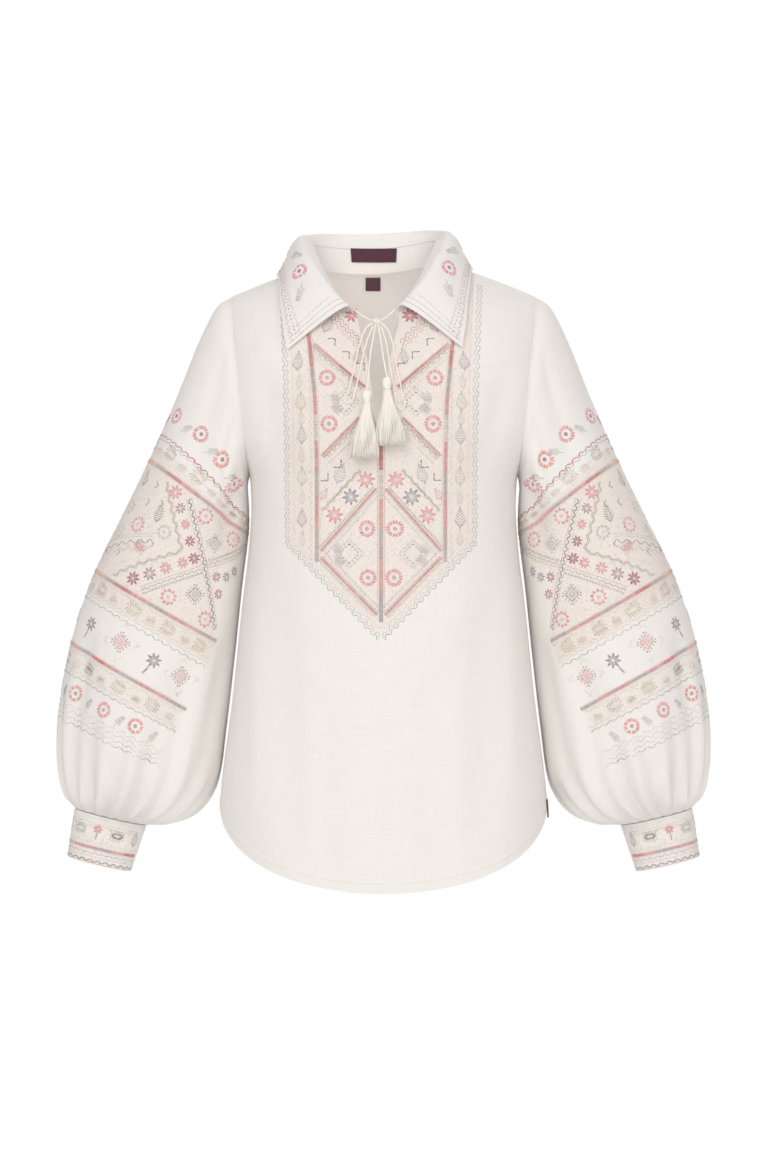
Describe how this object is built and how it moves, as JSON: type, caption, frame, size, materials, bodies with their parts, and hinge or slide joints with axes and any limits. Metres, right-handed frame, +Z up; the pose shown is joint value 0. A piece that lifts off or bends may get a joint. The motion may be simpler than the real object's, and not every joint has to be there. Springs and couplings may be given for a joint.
{
  "type": "vyshyvanka shirt",
  "caption": "Embroidered linen blouse in worn shape with no wearer: pointed collar, V neck tied with tasselled cords, full gathered sleeves and cuffs.",
  "frame": {"origin": "on the mid plane between the shoulder seams, level with the shoulders beside the neck, where a wearer holds the blouse up", "axes": "+Z up, front towards -Y, +X to the viewer's right seen from the front"},
  "size_m": [0.7312, 0.2415, 0.7356],
  "materials": {
    "linen": "matt off-white linen with raised embroidery in rose, coral, mauve, olive, grey and cream thread",
    "embroidered_linen": "off-white linen covered in rose, grey and cream embroidery",
    "cotton_cord": "cream twisted cotton with a soft sheen",
    "label_cloth": "dense maroon satin weave, bare"
  },
  "bodies": {
    "root": {"front_panel": "linen", "back_panel": "linen", "yoke": "linen", "collar_stand": "linen", "collar_fall": "linen", "sleeve_left": "linen", "sleeve_right": "linen", "cuff_left": "embroidered_linen", "cuff_right": "embroidered_linen", "tie_left": "cotton_cord", "tie_right": "cotton_cord", "knot": "cotton_cord", "loop_left": "cotton_cord", "loop_right": "cotton_cord", "end_left": "cotton_cord", "end_right": "cotton_cord", "tassel_left": "cotton_cord", "tassel_right": "cotton_cord", "label_neck": "label_cloth", "label_size": "label_cloth", "label_side": "label_cloth"}
  },
  "joints": []
}
